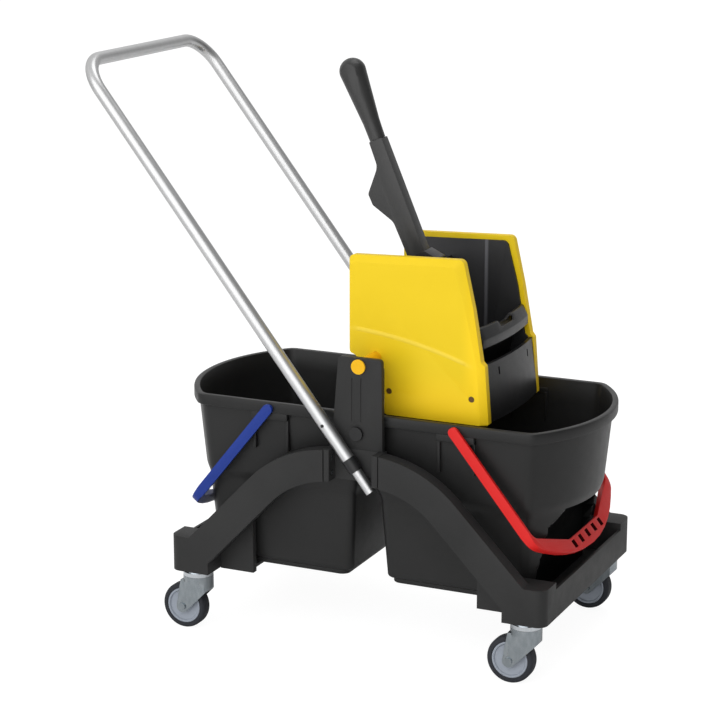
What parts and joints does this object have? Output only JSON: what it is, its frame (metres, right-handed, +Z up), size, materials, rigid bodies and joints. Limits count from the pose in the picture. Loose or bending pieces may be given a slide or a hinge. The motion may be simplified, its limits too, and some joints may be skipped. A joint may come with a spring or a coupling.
{
  "type": "double mop bucket trolley",
  "caption": "Wheeled cleaning trolley with buckets end to end in an arched chassis, a bent tube push handle and a lever mop wringer that tips on a crossbar.",
  "frame": {"origin": "on the floor under the middle of the chassis", "axes": "+X along the trolley towards the wringer's bucket, +Y across it to the far side, +Z up"},
  "size_m": [0.8753, 0.432, 0.9773],
  "materials": {
    "charcoal_plastic": "fine grain",
    "black_plastic": "satin",
    "yellow_plastic": "fine grain",
    "red_plastic": "satin",
    "blue_plastic": "satin",
    "tube_aluminium": "anodised satin",
    "zinc_steel": "zinc plated",
    "bright_chrome": "bright plated",
    "wheel_grey": "moulded",
    "tyre_grey": "matt"
  },
  "bodies": {
    "chassis": {"frame_left": "charcoal_plastic", "frame_right": "charcoal_plastic", "centre_bridge": "charcoal_plastic", "frame_screws": "zinc_steel", "bracket_near": "charcoal_plastic", "bracket_far": "charcoal_plastic", "bracket_bolts": "zinc_steel", "bracket_bolt_caps": "black_plastic", "wringer_crossbar": "yellow_plastic", "crossbar_caps": "yellow_plastic", "handle_stubs": "tube_aluminium", "handle_bolts": "zinc_steel", "king_pins": "zinc_steel", "swivel_cups": "bright_chrome"},
    "push_handle": {"handle_tube": "tube_aluminium", "handle_collars": "black_plastic"},
    "left_bucket": {"bucket_left": "charcoal_plastic"},
    "right_bucket": {"bucket_right": "charcoal_plastic"},
    "left_bail": {"bail_left": "blue_plastic"},
    "right_bail": {"bail_right": "red_plastic"},
    "wringer": {"cover_near": "yellow_plastic", "cover_far": "yellow_plastic", "side_plate_near": "black_plastic", "side_plate_far": "black_plastic", "wringer_apron": "black_plastic", "drain_grid": "black_plastic", "hinge_barrel": "black_plastic", "rear_panel": "black_plastic", "front_jaw": "black_plastic", "press_shaft": "zinc_steel", "return_springs": "zinc_steel", "cover_screws": "black_plastic"},
    "press": {"press_plate": "black_plastic", "lever_arm": "charcoal_plastic", "lever_grip": "charcoal_plastic", "lever_bolts": "zinc_steel"},
    "caster_near_left": {"fork_near_left": "zinc_steel", "axle_near_left": "zinc_steel"},
    "roller_near_left": {"wheel_near_left": "wheel_grey", "tyre_near_left": "tyre_grey"},
    "caster_near_right": {"fork_near_right": "zinc_steel", "axle_near_right": "zinc_steel"},
    "roller_near_right": {"wheel_near_right": "wheel_grey", "tyre_near_right": "tyre_grey"},
    "caster_far_left": {"fork_far_left": "zinc_steel", "axle_far_left": "zinc_steel"},
    "roller_far_left": {"wheel_far_left": "wheel_grey", "tyre_far_left": "tyre_grey"},
    "caster_far_right": {"fork_far_right": "zinc_steel", "axle_far_right": "zinc_steel"},
    "roller_far_right": {"wheel_far_right": "wheel_grey", "tyre_far_right": "tyre_grey"}
  },
  "joints": [
    {"name": "swivel_near_left", "type": "hinge", "parent": "chassis", "child": "caster_near_left", "pos_m": [-0.3, -0.189, 0.095], "axis": [0, 0, 1], "continuous": true},
    {"name": "roll_near_left", "type": "hinge", "parent": "caster_near_left", "child": "roller_near_left", "pos_m": [-0.324, -0.189, 0.04], "axis": [0, 1, 0], "continuous": true},
    {"name": "swivel_near_right", "type": "hinge", "parent": "chassis", "child": "caster_near_right", "pos_m": [0.3, -0.189, 0.095], "axis": [0, 0, 1], "continuous": true},
    {"name": "roll_near_right", "type": "hinge", "parent": "caster_near_right", "child": "roller_near_right", "pos_m": [0.276, -0.189, 0.04], "axis": [0, 1, 0], "continuous": true},
    {"name": "swivel_far_left", "type": "hinge", "parent": "chassis", "child": "caster_far_left", "pos_m": [-0.3, 0.189, 0.095], "axis": [0, 0, 1], "continuous": true},
    {"name": "roll_far_left", "type": "hinge", "parent": "caster_far_left", "child": "roller_far_left", "pos_m": [-0.324, 0.189, 0.04], "axis": [0, 1, 0], "continuous": true},
    {"name": "swivel_far_right", "type": "hinge", "parent": "chassis", "child": "caster_far_right", "pos_m": [0.3, 0.189, 0.095], "axis": [0, 0, 1], "continuous": true},
    {"name": "roll_far_right", "type": "hinge", "parent": "caster_far_right", "child": "roller_far_right", "pos_m": [0.276, 0.189, 0.04], "axis": [0, 1, 0], "continuous": true},
    {"name": "handle_extend", "type": "slide", "parent": "chassis", "child": "push_handle", "axis": [-0.615, 0, 0.7885], "range_m": [0, 0.12]},
    {"name": "left_bucket_lift", "type": "slide", "parent": "chassis", "child": "left_bucket", "axis": [0, 0, 1], "range_m": [0, 0.04]},
    {"name": "right_bucket_lift", "type": "slide", "parent": "chassis", "child": "right_bucket", "axis": [0, 0, 1], "range_m": [0, 0.04]},
    {"name": "left_bail_swing", "type": "hinge", "parent": "left_bucket", "child": "left_bail", "pos_m": [-0.167, 0, 0.404], "axis": [0, 1, 0], "range_deg": [0, 141]},
    {"name": "right_bail_swing", "type": "hinge", "parent": "right_bucket", "child": "right_bail", "pos_m": [0.167, 0, 0.404], "axis": [0, -1, 0], "range_deg": [0, 125]},
    {"name": "wringer_tip", "type": "hinge", "parent": "chassis", "child": "wringer", "pos_m": [0.0035, 0, 0.4975], "axis": [0, -1, 0], "range_deg": [0, 60]},
    {"name": "lever_press", "type": "hinge", "parent": "wringer", "child": "press", "pos_m": [0.118, 0, 0.44], "axis": [0, 1, 0], "range_deg": [0, 38], "stiffness_Nm_per_rad": 3}
  ]
}
